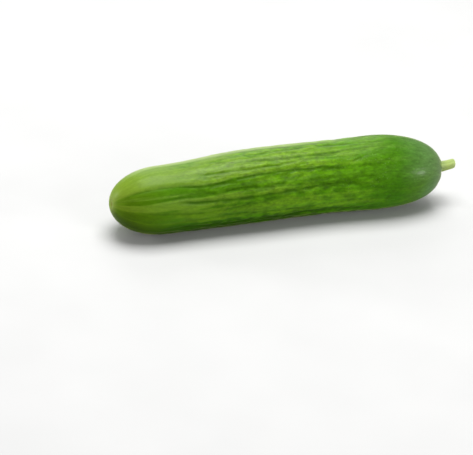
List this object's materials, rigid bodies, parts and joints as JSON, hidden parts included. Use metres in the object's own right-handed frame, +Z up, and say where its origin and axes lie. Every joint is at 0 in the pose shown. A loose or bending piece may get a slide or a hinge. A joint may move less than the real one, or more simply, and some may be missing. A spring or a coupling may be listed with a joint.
{
  "type": "cucumber",
  "caption": "Small thin-skinned cucumber lying on its side, slightly curved, with low lengthwise ribs, a blossom scar and a short cut stalk.",
  "frame": {"origin": "on the surface the cucumber lies on, under the middle of the bounding box", "axes": "+X along the cucumber, from the blossom tip towards the stalk; +Z up; -Y is the side seen in the picture"},
  "size_m": [0.1741, 0.0372, 0.0358],
  "materials": {
    "fruit_skin": "waxy satin green skin, paler along the ribs and yellow green towards the blossom tip",
    "stalk_skin": "dull pale yellow green stalk with a moist fibrous cut"
  },
  "bodies": {
    "root": {"fruit": "fruit_skin", "stalk": "stalk_skin"}
  },
  "joints": []
}
